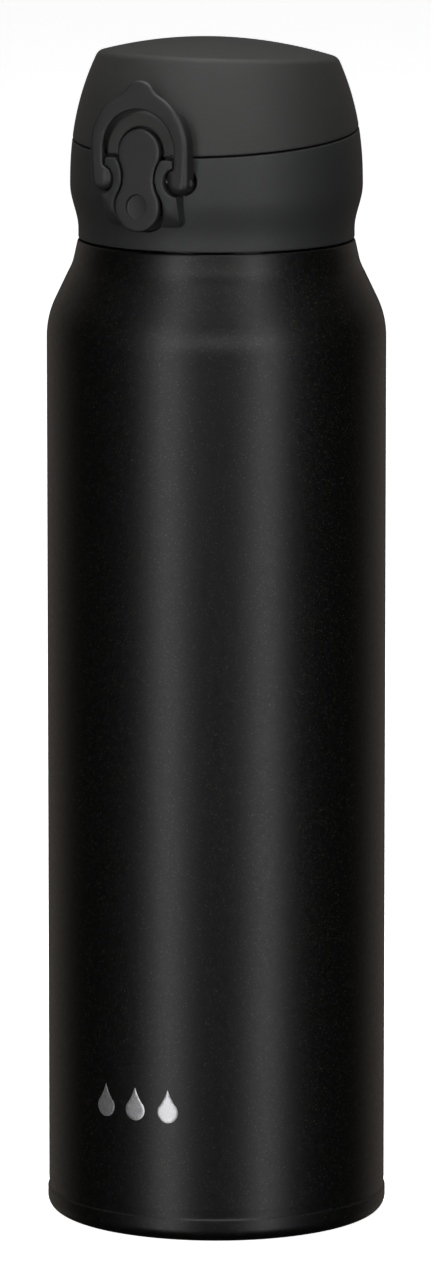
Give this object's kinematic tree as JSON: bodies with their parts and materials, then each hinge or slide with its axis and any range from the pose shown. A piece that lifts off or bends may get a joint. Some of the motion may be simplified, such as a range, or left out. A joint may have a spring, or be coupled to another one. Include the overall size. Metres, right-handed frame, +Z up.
{
  "type": "vacuum flask",
  "caption": "Slim double-walled steel vacuum flask with a screw-on cap unit, flip lid, push lever and hinged lock ring.",
  "frame": {"origin": "centre of the base, on the surface the flask stands on", "axes": "+Z up along the bottle's axis; -Y towards the lever and the lock ring; the lid's hinge is at +Y"},
  "size_m": [0.0736, 0.0736, 0.256],
  "materials": {
    "body_paint": "satin black paint with a fine metallic flake",
    "bare_steel": "brushed stainless steel",
    "pin_steel": "polished steel",
    "copper_foil": "bright copper foil",
    "cap_plastic": "fine-grained dark grey moulded plastic",
    "lid_plastic": "fine-grained dark grey moulded plastic",
    "lever_plastic": "smooth dark grey moulded plastic",
    "inner_plastic": "plain black moulded plastic",
    "silicone": "soft grey silicone"
  },
  "bodies": {
    "bottle": {"outer_shell": "body_paint", "base_cup": "body_paint", "base_disc": "inner_plastic", "vacuum_seal_bead": "bare_steel", "inner_vessel": "bare_steel", "heat_foil": "copper_foil", "getter": "bare_steel"},
    "seal": {"body_seal": "silicone"},
    "cap": {"cap_body": "cap_plastic", "spout": "inner_plastic", "spout_gasket": "silicone", "hinge_pin": "pin_steel", "hinge_spring": "pin_steel", "lever_pin": "pin_steel", "lever_spring": "pin_steel"},
    "lid": {"lid_cover": "lid_plastic", "lid_liner": "inner_plastic", "valve_gasket": "silicone"},
    "lever": {"release_lever": "lever_plastic"},
    "ring": {"lock_ring": "lever_plastic"}
  },
  "joints": [
    {"name": "cap_lift", "type": "slide", "parent": "bottle", "child": "seal", "axis": [0, 0, 1], "range_m": [0, 0.00755]},
    {"name": "cap_turn", "type": "hinge", "parent": "seal", "child": "cap", "pos_m": [0, 0, 0.22], "axis": [0, 0, 1], "range_deg": [0, 540]},
    {"name": "lid_hinge", "type": "hinge", "parent": "cap", "child": "lid", "pos_m": [0, 0.0315, 0.2375], "axis": [-1, 0, 0], "range_deg": [0, 140]},
    {"name": "lever_pivot", "type": "hinge", "parent": "cap", "child": "lever", "pos_m": [0, -0.031, 0.2281], "axis": [1, 0, 0], "range_deg": [0, 10], "stiffness_Nm_per_rad": 0.02, "springref_deg": -11.46},
    {"name": "ring_pivot", "type": "hinge", "parent": "cap", "child": "ring", "pos_m": [0, -0.031, 0.2281], "axis": [1, 0, 0], "range_deg": [0, 90]}
  ],
  "couplings": [
    {"joint": "cap_lift", "follows": "cap_turn", "m_per_rad": 0.00079577}
  ]
}
